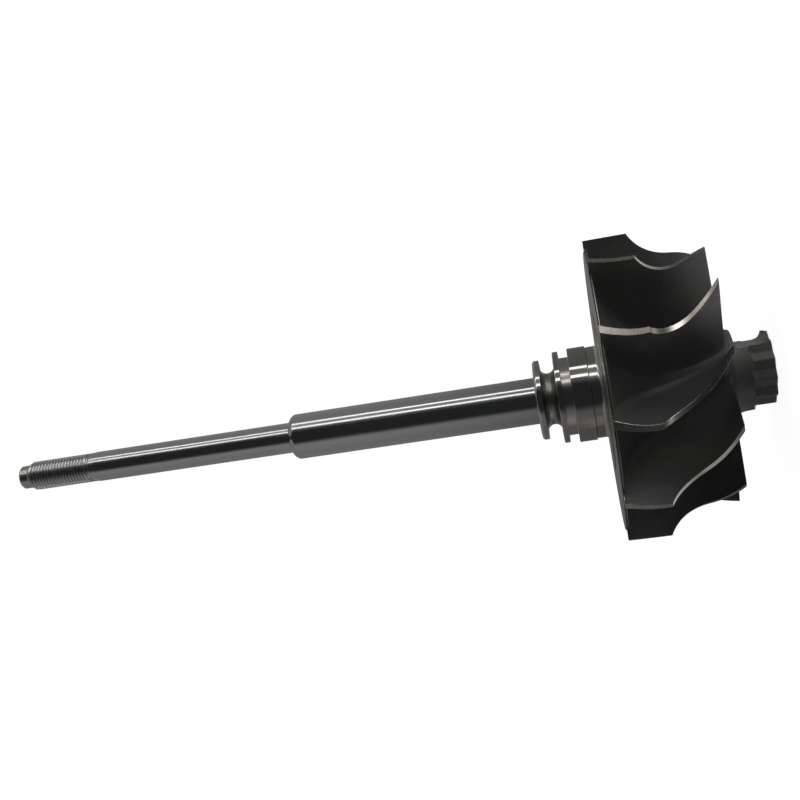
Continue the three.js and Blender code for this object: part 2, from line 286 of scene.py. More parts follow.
class Nodes:
    """A node tree with short calls for what the materials and the world use."""

    def __init__(self, tree):
        self.tree = tree
        tree.nodes.clear()

    def add(self, kind, **settings):
        node = self.tree.nodes.new("ShaderNode" + kind)
        for name, value in settings.items():
            setattr(node, name, value)
        return node

    def feed(self, socket, value):
        if isinstance(value, bpy.types.NodeSocket):
            self.tree.links.new(value, socket)
        elif value is not None:
            socket.default_value = value

    def math(self, operation, *values, clamp=False):
        node = self.add("Math", operation=operation, use_clamp=clamp)
        for socket, value in zip(node.inputs, values):
            self.feed(socket, value)
        return node.outputs[0]

    def step(self, value, low, high, to_low=0, to_high=1):
        """Goes smoothly from to_low at low to to_high at high."""
        node = self.add("MapRange", interpolation_type="SMOOTHSTEP")
        for name, entry in (("Value", value), ("From Min", low), ("From Max", high),
                            ("To Min", to_low), ("To Max", to_high)):
            self.feed(node.inputs[name], entry)
        return node.outputs[0]

    def step_near(self, value, place, span, to_low=0, to_high=1):
        """The same beside a radius or height of the part, with both ends in millimetres from it."""
        return self.step(value, (place + span[0]) * MM, (place + span[1]) * MM, to_low, to_high)

    def band(self, value, low, high, soft):
        """1 between low and high, 0 outside, with edges as wide as twice soft."""
        rise = self.step(value, low - soft, low + soft)
        fall = self.step(value, high - soft, high + soft, 1, 0)
        return self.math("MULTIPLY", rise, fall)

    def split(self, vector):
        """The x, y and z of a vector."""
        node = self.add("SeparateXYZ")
        self.feed(node.inputs[0], vector)
        return node.outputs

    def scaled(self, vector, scale):
        node = self.add("VectorMath", operation="MULTIPLY")
        self.feed(node.inputs[0], vector)
        node.inputs[1].default_value = scale
        return node.outputs[0]

    def off_axis(self, place):
        """A place's distance from the axis."""
        node = self.add("VectorMath", operation="LENGTH")
        self.feed(node.inputs[0], self.scaled(place, (1, 1, 0)))
        return node.outputs["Value"]

    def noise(self, vector, scale, detail=3, roughness=0.55):
        node = self.add("TexNoise")
        self.feed(node.inputs["Vector"], vector)
        node.inputs["Scale"].default_value = scale
        node.inputs["Detail"].default_value = detail
        node.inputs["Roughness"].default_value = roughness
        return node.outputs["Fac"]

    def mix(self, factor, first, second):
        node = self.add("Mix", data_type="RGBA")
        self.feed(node.inputs["Factor"], factor)
        self.feed(node.inputs[MIX_FIRST], first)
        self.feed(node.inputs[MIX_SECOND], second)
        return node.outputs[MIX_RESULT]

    def bump(self, height, distance, strength=1, normal=None):
        node = self.add("Bump")
        self.feed(node.inputs["Height"], height)
        node.inputs["Distance"].default_value = distance
        node.inputs["Strength"].default_value = strength
        self.feed(node.inputs["Normal"], normal)
        return node.outputs["Normal"]


def make_world():
    world = bpy.data.worlds.new("studio")
    scene.world = world
    world.use_nodes = True
    n = Nodes(world.node_tree)
    x, y, z = n.split(n.add("TexCoord").outputs["Generated"])
    angle = n.math("MULTIPLY", n.math("ARCTAN2", y, x), 180 / math.pi)

    # The walls are brightest above and at two sides
    below = n.math("SUBTRACT", 1, n.math("MULTIPLY", z, 1 / FULL_GREY_RISE, clamp=True))
    walls = n.math("MULTIPLY_ADD", n.math("MULTIPLY", below, below), GREY_BELOW - GREY, GREY)
    right, left = [n.math("MULTIPLY", n.step(angle, start, full), n.step(angle, fade, end, 1, 0))
                   for start, full, fade, end in BRIGHT_SIDES]
    sides = n.math("MULTIPLY_ADD", n.math("ADD", right, left), WALL_SHADE, 1 - WALL_SHADE)
    walls = n.math("MULTIPLY", walls, sides)

    # The dark screen's left edge is soft, and light spills onto it beside the lower strip
    dark = n.step(angle, DARK_FROM, DARK_FROM + DARK_SOFT_FROM)
    dark = n.math("MULTIPLY", dark, n.step(angle, DARK_TO - DARK_SOFT_TO, DARK_TO + DARK_SOFT_TO, 1, 0))
    spill = n.math("MULTIPLY", n.step(angle, SPILL_FROM, SPILL_TO, 0, SPILL), dark)
    glow = n.math("MULTIPLY_ADD", dark, n.math("SUBTRACT", DARK, walls), n.math("ADD", walls, spill))
    between = n.band(angle, LOWER_STRIP[1], UPPER_STRIP[0], STRIP_SOFT)
    glow = n.math("MULTIPLY_ADD", between, BETWEEN_STRIPS, glow)

    level = n.step(n.math("ABSOLUTE", z), STRIP_FADE, STRIP_END, 1, 0)
    level = n.math("MULTIPLY", level, n.step(z, STRIP_WEAK_AT, STRIP_FULL_AT, STRIP_WEAK, 1))
    for low, high, strength in (LOWER_STRIP, UPPER_STRIP):
        strip = n.math("MULTIPLY", n.band(angle, low, high, STRIP_SOFT), level)
        glow = n.math("MULTIPLY_ADD", strip, strength, glow)
    for low, high, strength, near, far in (FRONT_GLOW, LOW_GLOW, REAR_GLOW):
        beside = n.math("MULTIPLY", n.step(z, GLOW_END, GLOW_FADE), n.step(z, far, near, 1, 0))
        beside = n.math("MULTIPLY", beside, n.band(angle, low, high, GLOW_SOFT))
        glow = n.math("MULTIPLY_ADD", beside, strength, glow)

    # A low glow behind, which mostly the views from there mirror
    low, high, strength, near, far = BACK_FLOOR
    behind = n.math("MULTIPLY", n.band(angle, low, high, BACK_FLOOR_SOFT), n.step(z, far, near, 1, 0))
    glow = n.math("MULTIPLY_ADD", behind, strength, glow)

    # The camera sees a white backdrop instead
    seen = n.add("LightPath").outputs["Is Camera Ray"]
    light = n.add("Background")
    n.feed(light.inputs["Color"], n.mix(dark, WHITE, DARK_TINT))
    n.feed(light.inputs["Strength"], glow)
    backdrop = n.add("Background")
    backdrop.inputs["Color"].default_value = WHITE
    both = n.add("MixShader")
    n.feed(both.inputs[0], seen)
    n.feed(both.inputs[1], light.outputs[0])
    n.feed(both.inputs[2], backdrop.outputs[0])
    n.feed(n.add("OutputWorld").inputs["Surface"], both.outputs[0])


def make_lamps():
    """Faint shadowless lights for the cast metal's hollows, which the steel doesn't mirror."""
    for name, azimuth, rise, energy in LAMPS:
        lamp = bpy.data.lights.new(name, "SUN")
        lamp.energy = energy
        lamp.use_shadow = False
        lamp.angle = math.radians(LAMP_SPREAD)
        lamp.color = LAMP_TINT
        fill = add_object(name, lamp)
        toward = math.radians(azimuth)
        beam = Vector((-math.cos(toward), -math.sin(toward), -rise))
        fill.rotation_euler = beam.to_track_quat("-Z", "Y").to_euler()
        fill.visible_glossy = False


def make_floor():
    """A pale floor under the nose. It lights nothing, so that the studio alone sets the steel's look."""
    mesh = bpy.data.meshes.new("floor")
    corners = [(x * FLOOR_REACH, y * FLOOR_REACH, 0) for x, y in ((-1, -1), (1, -1), (1, 1), (-1, 1))]
    mesh.from_pydata(corners, [], [(0, 1, 2, 3)])
    material, _, shader, _ = new_material("pale_floor", 0, FLOOR_GREY, FLOOR_ROUGHNESS)
    shader.inputs["Emission Color"].default_value = WHITE
    shader.inputs["Emission Strength"].default_value = FLOOR_LIGHT
    mesh.materials.append(material)
    floor = add_object("floor", mesh)
    floor.visible_glossy = False
    floor.visible_diffuse = False
    floor.visible_shadow = False


# Materials

# Colours of the shaft
GROUND, GROUND_PALE = (0.62, 0.62, 0.61, 1), (0.66, 0.66, 0.65, 1)
GROUND_HUB = (0.64, 0.62, 0.58, 1)
# Painted shade for the oil groove, deeper on its walls than on its floor
GROOVE_PAINTED_SHADE = (0.22, 0.22, 0.22, 1)
TURNED = (0.56, 0.55, 0.53, 1)
# The boss's paler colour is painted light on its +X side
BOSS, BOSS_PAINTED_LIGHT = (0.58, 0.58, 0.54, 1), (0.66, 0.66, 0.615, 1)
BOSS_STRAW = (0.56, 0.48, 0.38, 1)
# Painted shade for the thread's roots
THREAD_ROOT_PAINTED_SHADE = (0.43, 0.435, 0.445, 1)

# Colours of the wheel
CAST = (0.062, 0.060, 0.058, 1)
CAST_GREY, CAST_BROWN = (0.057, 0.057, 0.058, 1), (0.075, 0.071, 0.065, 1)
CAST_WORN = (0.11, 0.10, 0.09, 1)
# Painted shade for the rim
RIM_PAINTED_SHADE = (0.02, 0.021, 0.018, 1)
EDGE_METAL = (0.60, 0.55, 0.48, 1)
EDGE_DARK, EDGE_PALE = (0.46, 0.43, 0.38, 1), (0.56, 0.52, 0.46, 1)
BACK_METAL = (0.34, 0.34, 0.31, 1)
# The disc's back, with painted shade towards -X and painted light towards +X
BACK_PAINTED_SHADE, BACK_PAINTED_SHADE_MARK = (0.19, 0.19, 0.17, 1), (0.27, 0.27, 0.24, 1)
BACK_PAINTED_LIGHT, BACK_PAINTED_LIGHT_MARK = (0.38, 0.38, 0.345, 1), (0.50, 0.50, 0.455, 1)
CUT_METAL = (0.15, 0.145, 0.14, 1)
CUT_DARK, CUT_PALE = (0.17, 0.167, 0.16, 1), (0.23, 0.224, 0.212, 1)

# Noise scales a metre: marks of a tool are drawn out round the axis, so they are fine along it alone
GROUND_RINGS = (120, 120, 9000)
GROUND_CLOUDS = (90, 90, 40)
TURNED_RINGS = (60, 60, 5200)
TURNED_PATCHES = 260
CAST_CLOUDS, CAST_MOTTLE, CAST_GRAIN = 70, 600, 2600
EDGE_RINGS = (150, 150, 1400)
EDGE_PATCHES = 300
RIM_RINGS = (0, 0, 3000)
BACK_RINGS = 1500
CUT_PATCHES = 500

# Depths of the marks, in metres
GROUND_DEPTH = 0.000003
TURNED_DEPTH = 0.000006
GRAIN_DEPTH, MOTTLE_DEPTH = 0.00004, 0.00005
CUT_DEPTH = 0.00002

# How far from the axis, in metres, the boss's straw tint, the boss's painted light and the disc's painted
# light and shade change across the part
STRAW_FROM, STRAW_TO = 0.002, -0.012
BOSS_LIGHT_FROM, BOSS_LIGHT_TO = 0, 0.008
BACK_SHADE_TO, BACK_LIGHT_FROM = -0.035, 0.03

# Where looks change, in millimetres from the radius or height that each goes with
HUB_LOOK_END = (0, 0.2)
GROOVE_DULL = (-0.6, 0.6)
GROOVE_WALLS = (-0.1, 0.3)
GROOVE_SHADOW = (-1.1, -0.5)
BOSS_LOOK_START, BOSS_LOOK_END, BOSS_LOOK_SOFT = -2, 0.1, 0.2
BOSS_FOOT = (0.05, 0.3)
THREAD_ROOTS, THREAD_LOOK_SOFT = (-0.3, -0.03), 0.6
RIM_LOOK, RIM_LOOK_START = (-0.2, -0.1), (-0.1, 0)

# Shares of a second colour
GROOVE_SHARE, GROOVE_WALLS_MORE = 0.53, 0.12
STRAW_SHARES = (0.3, 0.9)
WORN_SHARE = 0.35
RIM_SHARE = 0.7

# Roughness: the least and the most that the marks give, and what is added in places
GROUND_ROUGH, GROUND_CLOUDS_ROUGH = (0.09, 0.13), 0.05
SEAT_ROUGH = 0.03
GROOVE_ROUGH, FLANGE_ROUGH = 0.22, -0.045
TURNED_ROUGH = (0.2, 0.32)
BOSS_ROUGH, BOSS_FOOT_ROUGH = -0.14, 0.25
THREAD_ROUGH = 0.03
CAST_ROUGH = (0.45, 0.6)
EDGE_ROUGH = (0.26, 0.30)

# Values of a noise between which a mark changes
MARKS = (0.3, 0.7)
PALE_MARKS = (0.35, 0.7)
GROUND_CLOUD_MARKS = (0.35, 0.75)
STRAW_MARKS = (0.2, 0.7)
TURNED_MARKS = (0.25, 0.75)
BROWN_MARKS = (0.35, 0.65)
WORN_MARKS = (0.55, 0.75)
BACK_MARKS = (0.1, 0.4)

# Strengths of the marks' relief
FAINT_RELIEF, CLEAR_RELIEF = 0.3, 0.5


def new_material(name, metallic, colour, roughness):
    """A material with its shader, its place in the row frame in metres, and its output joined.

    The plain colour and roughness stay where nothing else is joined, and show where nodes aren't read.
    """
    material = bpy.data.materials.new(name)
    material.use_nodes = True
    n = Nodes(material.node_tree)
    shader = n.add("BsdfPrincipled")
    shader.inputs["Metallic"].default_value = metallic
    shader.inputs["Base Color"].default_value = colour
    shader.inputs["Roughness"].default_value = roughness
    n.feed(n.add("OutputMaterial").inputs["Surface"], shader.outputs[0])
    return material, n, shader, n.add("TexCoord").outputs["Object"]


def ground_steel():
    """Bright ground bar: fine rings from the wheel, cloudy patches, dull in the hub's grooves, with painted
    shade in the oil groove.
    """
    material, n, shader, place = new_material("ground_steel", 1, GROUND, 0.12)
    rings = n.noise(n.scaled(place, GROUND_RINGS), 1, 4, 0.6)
    clouds = n.noise(n.scaled(place, GROUND_CLOUDS), 1, 3)
    z = n.split(place)[2]
    away = n.off_axis(place)
    hub = n.step_near(z, OUTER_FLANGE_TOP, HUB_LOOK_END, 1, 0)

    rough = n.step(rings, *MARKS, *GROUND_ROUGH)
    rough = n.math("ADD", rough, n.step(clouds, *GROUND_CLOUD_MARKS, 0, GROUND_CLOUDS_ROUGH))
    rough = n.math("ADD", rough, n.step(z, SHOULDER_EDGE * MM, SHOULDER * MM, 0, SEAT_ROUGH))
    duller = n.step_near(away, RING_GROOVE_RADIUS, GROOVE_DULL, GROOVE_ROUGH, FLANGE_ROUGH)
    n.feed(shader.inputs["Roughness"], n.math("MULTIPLY_ADD", hub, duller, rough))

    shade = n.mix(n.step(rings, *PALE_MARKS), GROUND, GROUND_PALE)
    shade = n.mix(hub, shade, GROUND_HUB)
    # Painted shade: the oil groove is darkened, its walls more than its floor
    walls = n.step_near(away, OIL_GROOVE_RADIUS, GROOVE_WALLS)
    groove = n.step_near(away, OUTER_FLANGE_RADIUS, GROOVE_SHADOW, 1, 0)
    groove = n.math("MULTIPLY", groove, n.math("MULTIPLY_ADD", walls, GROOVE_WALLS_MORE, GROOVE_SHARE))
    shade = n.mix(n.math("MULTIPLY", hub, groove), shade, GROOVE_PAINTED_SHADE)
    n.feed(shader.inputs["Base Color"], shade)
    n.feed(shader.inputs["Normal"], n.bump(rings, GROUND_DEPTH, FAINT_RELIEF))
    return material


def turned_steel():
    """Lathe-turned steel with feed rings: straw on one side of the weld boss and painted light on its other
    side, painted shade in the thread's roots.
    """
    material, n, shader, place = new_material("turned_steel", 1, TURNED, 0.27)
    rings = n.noise(n.scaled(place, TURNED_RINGS), 1, 3, 0.6)
    patches = n.noise(place, TURNED_PATCHES, 4)
    x, _, z = n.split(place)
    away = n.off_axis(place)

    boss_from, boss_to = DISC_BACK + BOSS_LOOK_START, WELD_TOP + BOSS_LOOK_END
    boss = n.band(z, boss_from * MM, boss_to * MM, BOSS_LOOK_SOFT * MM)
    low = n.step(x, STRAW_TO, STRAW_FROM, 1, 0)
    straw = n.math("MULTIPLY", n.math("MULTIPLY", boss, low), n.step(patches, *STRAW_MARKS, *STRAW_SHARES))
    shade = n.mix(straw, BOSS, BOSS_STRAW)
    # Painted light: the boss is lighter towards +X
    painted_light = n.math("MULTIPLY", boss, n.step(x, BOSS_LIGHT_FROM, BOSS_LIGHT_TO))
    shade = n.mix(painted_light, shade, BOSS_PAINTED_LIGHT)
    # Painted shade: the thread's roots are darkened, and made a little rougher
    roots = n.step_near(away, THREAD_RADIUS, THREAD_ROOTS, 1, 0)
    turns = n.band(z, THREAD_START * MM, THREAD_CHAMFER * MM, THREAD_LOOK_SOFT * MM)
    roots = n.math("MULTIPLY", roots, turns)
    n.feed(shader.inputs["Base Color"], n.mix(roots, shade, THREAD_ROOT_PAINTED_SHADE))

    rough = n.math("MULTIPLY_ADD", boss, BOSS_ROUGH, n.step(rings, *TURNED_MARKS, *TURNED_ROUGH))
    rough = n.math("MULTIPLY_ADD", roots, THREAD_ROUGH, rough)
    foot = n.step_near(away, WELD_RADIUS, BOSS_FOOT, 0, BOSS_FOOT_ROUGH)
    n.feed(shader.inputs["Roughness"], n.math("MULTIPLY_ADD", boss, foot, rough))
    n.feed(shader.inputs["Normal"], n.bump(rings, TURNED_DEPTH, CLEAR_RELIEF))
    return material


def cast_alloy():
    """Dark oxide skin of an investment casting: fine grain, cloudy brown and grey, with painted shade on the
    rim.
    """
    material, n, shader, place = new_material("cast_alloy", 0.25, CAST, 0.55)
    clouds = n.noise(place, CAST_CLOUDS, 4)
    grain = n.noise(place, CAST_GRAIN, 3, 0.6)
    mottle = n.noise(place, CAST_MOTTLE, 3)
    shade = n.mix(n.step(clouds, *BROWN_MARKS), CAST_GREY, CAST_BROWN)
    shade = n.mix(n.step(mottle, *WORN_MARKS, 0, WORN_SHARE), shade, CAST_WORN)
    # Painted shade: the cast metal is darkened on the rim
    rim = n.step_near(n.off_axis(place), DISC_RADIUS, RIM_LOOK)
    rim = n.math("MULTIPLY", rim, n.step_near(n.split(place)[2], RIM_FRONT, RIM_LOOK_START))
    n.feed(shader.inputs["Base Color"], n.mix(n.math("MULTIPLY", rim, RIM_SHARE), shade, RIM_PAINTED_SHADE))
    n.feed(shader.inputs["Roughness"], n.step(clouds, *MARKS, *CAST_ROUGH))
    coarse = n.bump(mottle, MOTTLE_DEPTH, FAINT_RELIEF)
    n.feed(shader.inputs["Normal"], n.bump(grain, GRAIN_DEPTH, CLEAR_RELIEF, coarse))
    return material


def machined_edge():
    """The blades' turned edges: bright, warm, with faint feed marks and cloudy patches."""
    material, n, shader, place = new_material("machined_edge", 1, EDGE_METAL, 0.26)
    rings = n.noise(n.scaled(place, EDGE_RINGS), 1, 2, 0.5)
    patches = n.noise(place, EDGE_PATCHES, 3)
    n.feed(shader.inputs["Base Color"], n.mix(n.step(patches, *PALE_MARKS), EDGE_DARK, EDGE_PALE))
    n.feed(shader.inputs["Roughness"], n.step(rings, *MARKS, *EDGE_ROUGH))
    return material


def faced_back():
    """The disc's turned back and rim: greenish grey, with painted light towards +X and painted shade towards
    -X, and wide feed rings.
    """
    material, n, shader, place = new_material("faced_back", 0.9, BACK_METAL, 0.34)
    rings = n.noise(n.scaled(place, RIM_RINGS), 1, 2)
    feed = n.add("TexNoise", noise_dimensions="1D")
    n.feed(feed.inputs["W"], n.off_axis(place))
    feed.inputs["Scale"].default_value = BACK_RINGS
    marks = n.step(n.math("MULTIPLY", rings, feed.outputs["Fac"]), *BACK_MARKS)
    shaded_side = n.mix(marks, BACK_PAINTED_SHADE, BACK_PAINTED_SHADE_MARK)
    clear = n.mix(marks, BACK_PAINTED_LIGHT, BACK_PAINTED_LIGHT_MARK)
    # Painted light and shade: lighter towards +X, darker towards -X
    side = n.step(n.split(place)[0], BACK_SHADE_TO, BACK_LIGHT_FROM)
    n.feed(shader.inputs["Base Color"], n.mix(side, shaded_side, clear))
    return material


def ground_cut():
    """The balancing cut: the casting laid bare by a wheel, a little lighter than its skin."""
    material, n, shader, place = new_material("ground_cut", 0.5, CUT_METAL, 0.42)
    patches = n.noise(place, CUT_PATCHES, 4)
    n.feed(shader.inputs["Base Color"], n.mix(n.step(patches, *MARKS), CUT_DARK, CUT_PALE))
    n.feed(shader.inputs["Normal"], n.bump(patches, CUT_DEPTH, FAINT_RELIEF))
    return material


# Turned pieces

def spread(start, end, steps):
    """Values from start to end at even steps, without start itself."""
    return [start + (end - start) * i / steps for i in range(1, steps + 1)]


def corner_arc(before, corner, after, fillet):
    """Points of a profile's rounded corner, each with its outward normal: (radius, height, nr, nz).

    A slight bend without a fillet stays one point, and a fillet takes at most half of a side.
    """
    before, corner, after = (np.array(point, float) for point in (before, corner, after))
    arriving = corner - before
    leaving = after - corner
    room = FILLET_ROOM * min(np.hypot(*arriving), np.hypot(*leaving))
    arriving /= np.hypot(*arriving)
    leaving /= np.hypot(*leaving)
    turn = math.atan2(arriving[0] * leaving[1] - arriving[1] * leaving[0], float(arriving @ leaving))
    normal = np.array((arriving[1], -arriving[0]))
    if abs(turn) < math.radians(SMOOTH_BELOW) and not fillet:
        middle = normal + np.array((leaving[1], -leaving[0]))
        return [(*corner, *(middle / np.hypot(*middle)))]
    half_turn = math.tan(abs(turn) / 2)
    size = min(fillet or EDGE, room / half_turn)
    side = math.copysign(1, turn)
    centre = corner - arriving * size * half_turn - normal * size * side
    steps = max(3, math.ceil(abs(turn) / math.radians(CORNER_STEP)))
    points = []
    for i in range(steps + 1):
        angle = turn * i / steps
        c, s = math.cos(angle), math.sin(angle)
        n = np.array((normal[0] * c - normal[1] * s, normal[0] * s + normal[1] * c))
        points.append((*(centre + n * size * side), *n))
    return points


def rounded(corners):
    """A closed profile from (radius, height) or (radius, height, fillet) corners, ends on the axis."""
    points = [(0, corners[0][1], 0, -1)]
    for before, corner, after in zip(corners, corners[1:], corners[2:]):
        fillet = corner[2] if len(corner) > 2 else 0
        points += corner_arc(before[:2], corner[:2], after[:2], fillet)
    return points + [(0, corners[-1][1], 0, 1)]


def round_faces(rings, segments):
    """Faces of rings of vertices about the axis, closed by one vertex before them and one after them."""
    top = 1 + rings * segments
    last = top - segments
    faces = []
    for j in range(segments):
        k = (j + 1) % segments
        faces.append((0, 1 + k, 1 + j))
        for a in range(1, last, segments):
            b = a + segments
            faces.append((a + j, a + k, b + k, b + j))
        faces.append((last + j, last + k, top))
    return faces


def round_body(radius_at, heights, segments):
    """Vertices and faces of a body whose radius changes with the angle and the height."""
    vertices = [(0, 0, heights[0])]
    for height in heights:
        for j in range(segments):
            angle = 2 * math.pi * j / segments
            radius = radius_at(angle, height)
            vertices.append((radius * math.cos(angle), radius * math.sin(angle), height))
    vertices.append((0, 0, heights[-1]))
    return vertices, round_faces(len(heights), segments)


def turned(corners, segments):
    """Vertices, normals and faces of a profile turned about +Z."""
    profile = rounded(corners)
    angles = [2 * math.pi * j / segments for j in range(segments)]
    vertices = [(0, 0, profile[0][1])]
    normals = [(0, 0, -1)]
    for radius, height, nr, nz in profile[1:-1]:
        for angle in angles:
            c, s = math.cos(angle), math.sin(angle)
            vertices.append((radius * c, radius * s, height))
            normals.append((nr * c, nr * s, nz))
    vertices.append((0, 0, profile[-1][1]))
    normals.append((0, 0, 1))
    return vertices, normals, round_faces(len(profile) - 2, segments)


def add_piece(name, vertices, faces, materials, replaces, normals=None, indices=None):
    mesh = bpy.data.meshes.new(name)
    mesh.from_pydata([Vector(v) * MM for v in vertices], [], faces)
    for material in materials:
        mesh.materials.append(material)
    if indices is not None:
        mesh.polygons.foreach_set("material_index", indices)
    mesh.polygons.foreach_set("use_smooth", [True] * len(mesh.polygons))
    mesh.update()
    if normals is not None:
        mesh.normals_split_custom_set_from_vertices(normals)
    piece = add_object(name, mesh)
    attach(piece, "root")
    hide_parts(*replaces)
    return piece


def add_turned(name, corners, material, replaces, segments=SHAFT_SEGMENTS):
    vertices, normals, faces = turned(corners, segments)
    return add_piece(name, vertices, faces, [material], replaces, normals)


def make_shaft(ground, bright):
    add_turned("pilot_turned", [
        (0, THREAD_TOP),
        (PILOT_RADIUS, THREAD_TOP),
        (PILOT_RADIUS, PILOT_TOP - PILOT_CHAMFER, PILOT_FILLET),
        (PILOT_RADIUS - PILOT_CHAMFER, PILOT_TOP, PILOT_FILLET),
        (CENTRE_HOLE_RADIUS, PILOT_TOP, CENTRE_HOLE_FILLET),
        (0, PILOT_TOP - CENTRE_HOLE_DEPTH),
    ], bright, ["pilot_tip"])
    add_turned("journal_and_seat", [
        (0, OUTER_FLANGE_TOP),
        (JOURNAL_RADIUS, OUTER_FLANGE_TOP, BUTT_FILLET),
        (JOURNAL_RADIUS, JOURNAL_TOP, JOURNAL_END_FILLET),
        (SHOULDER_EDGE_RADIUS, SHOULDER_EDGE, SHOULDER_EDGE_FILLET),
        (SHOULDER_RADIUS, SHOULDER, SHOULDER_FILLET),
        (SEAT_RADIUS, SHOULDER, SEAT_FILLET),
        (SEAT_RADIUS, SEAT_TOP, SMALL_FILLET),
        (RELIEF_RADIUS, SEAT_TOP, SMALL_FILLET),
        (RELIEF_RADIUS, RELIEF_TOP, SMALL_FILLET),
        (THREAD_RADIUS, RELIEF_TOP, SMALL_FILLET),
        (THREAD_RADIUS, THREAD_START, BUTT_FILLET),
        (0, THREAD_START),
    ], ground, ["shaft_body"])
    add_turned("seal_hub_turned", [
        (0, WELD_TOP),
        (COLLAR_RADIUS - COLLAR_CHAMFER, WELD_TOP, BUTT_FILLET),
        (COLLAR_RADIUS, WELD_TOP + COLLAR_CHAMFER, TINY_FILLET),
        (COLLAR_RADIUS, COLLAR_TOP, HUB_FILLET),
        (RING_GROOVE_RADIUS, COLLAR_TOP, HUB_FILLET),
        (RING_GROOVE_RADIUS, RING_GROOVE_TOP, HUB_FILLET),
        (INNER_FLANGE_RADIUS, RING_GROOVE_TOP, HUB_FILLET),
        (INNER_FLANGE_RADIUS, INNER_FLANGE_TOP, INNER_FLANGE_FILLET),
        (OIL_GROOVE_RADIUS, INNER_FLANGE_TOP, OIL_GROOVE_FILLET),
        (OIL_GROOVE_RADIUS, OIL_GROOVE_TOP, OIL_GROOVE_FILLET),
        (OUTER_FLANGE_RADIUS, OIL_GROOVE_TOP, TINY_FILLET),
        (OUTER_FLANGE_RADIUS, OUTER_FLANGE_TOP, OUTER_FLANGE_FILLET),
        (0, OUTER_FLANGE_TOP),
    ], ground, ["seal_hub"])
    add_turned("weld_boss_turned", [
        (0, PAD_TOP),
        (WELD_RADIUS + DISC_FILLET, PAD_TOP, BUTT_FILLET),
        (WELD_RADIUS + DISC_FILLET * FOOT_SHARE, PAD_TOP + DISC_FILLET * FOOT_SHARE, WELD_FOOT_FILLET),
        (WELD_RADIUS, PAD_TOP + DISC_FILLET, DISC_FILLET),
        (WELD_RADIUS, WELD_TOP - WELD_CHAMFER, PAD_FILLET),
        (WELD_RADIUS - WELD_CHAMFER, WELD_TOP, PAD_FILLET),
        (0, WELD_TOP),
    ], bright, ["weld_boss"])


def thread_radius(angle, height):
    """Left-hand thread with flat crests and round roots, fading in at its start, chamfered at its end."""
    turns = (height - THREAD_TOP) / THREAD_PITCH + angle / (2 * math.pi) + THREAD_PHASE
    off_crest = abs((turns + 0.5) % 1 - 0.5)
    depth = min(max((off_crest - THREAD_HALF_CREST) / THREAD_FLANK, 0), 1)
    rounded_depth = (depth - THREAD_ROUNDING * depth ** 4) / (1 - THREAD_ROUNDING)
    fade = min(max((height - THREAD_START) / THREAD_FADE, 0), 1)
    cut = (THREAD_RADIUS - THREAD_ROOT_RADIUS) * rounded_depth * fade
    chamfer = (height - THREAD_CHAMFER) / (THREAD_TOP - THREAD_CHAMFER)
    limit = THREAD_RADIUS - max(chamfer, 0) * (THREAD_RADIUS - PILOT_RADIUS)
    return min(THREAD_RADIUS - cut, limit)


def make_thread(material):
    rows = round((THREAD_TOP - THREAD_START) / THREAD_PITCH * THREAD_ROWS)
    heights = [THREAD_START, *spread(THREAD_START, THREAD_TOP, rows)]
    vertices, faces = round_body(thread_radius, heights, THREAD_SEGMENTS)
    piece = add_piece("thread_cut", vertices, faces, [material], ["threaded_end"])
    piece.data.set_sharp_from_angle(angle=math.radians(THREAD_SHARP))


# Wheel

FLARE_LENGTH = RIM_FRONT - HUB_STRAIGHT_TOP
FLARE_DEPTH = DISC_RADIUS - HUB_RADIUS


def flare_point(angle, clearance=0):
    """A point of the hub's flare, a quarter ellipse, moved off its surface by clearance."""
    across, along = math.cos(math.radians(angle)), math.sin(math.radians(angle))
    nr, nz = across * FLARE_LENGTH, along * FLARE_DEPTH
    size = clearance / math.hypot(nr, nz)
    return (DISC_RADIUS - FLARE_DEPTH * across + nr * size,
            HUB_STRAIGHT_TOP + FLARE_LENGTH * along - nz * size)


def flare(start, end, steps):
    return [flare_point(angle) for angle in (start, *spread(start, end, steps))]


def make_hub(cast, back):
    """The hub up to where the flare is split, then the disc, whose back and front edge are machined."""
    split = flare_point(FLARE_SPLIT)
    add_turned("hub_cast", [
        (0, NECK_TOP),
        (HUB_RADIUS, NECK_TOP, BUTT_FILLET),
        (HUB_RADIUS, NECK_TOP + 1),
        *flare(0, FLARE_SPLIT, FLARE_STEPS),
        (split[0] - LAP, split[1] + LAP, LAP / 2),
        (0, split[1] + LAP),
    ], cast, ["hub_cone"], WHEEL_SEGMENTS)
    corners = [
        (0, split[1]),
        (split[0] - 2 * LAP, split[1]),
        *flare(FLARE_SPLIT, FLARE_RIM, FLARE_RIM_STEPS),
        (DISC_RADIUS, RIM_FRONT, DISC_FRONT_FILLET),
        (DISC_RADIUS, DISC_BACK, DISC_BACK_FILLET),
        (PAD_RADIUS, DISC_BACK, PAD_FILLET),
        (PAD_RADIUS, PAD_TOP, PAD_FILLET),
        (0, PAD_TOP),
    ]
    vertices, normals, faces = turned(corners, WHEEL_SEGMENTS)
    indices = []
    for face in faces:
        heights = [vertices[i][2] for i in face]
        radius = min(math.hypot(*vertices[i][:2]) for i in face)
        on_back = min(heights) > DISC_BACK - DISC_BACK_FILLET - EDGE
        on_rim = radius > DISC_RADIUS - DISC_FRONT_FILLET - EDGE
        on_front_edge = on_rim and max(heights) < RIM_FRONT + DISC_FRONT_FILLET + EDGE
        indices.append(int(on_back or on_front_edge))
    add_piece("disc_cast", vertices, faces, [cast, back], ["back_disc"], normals, indices)


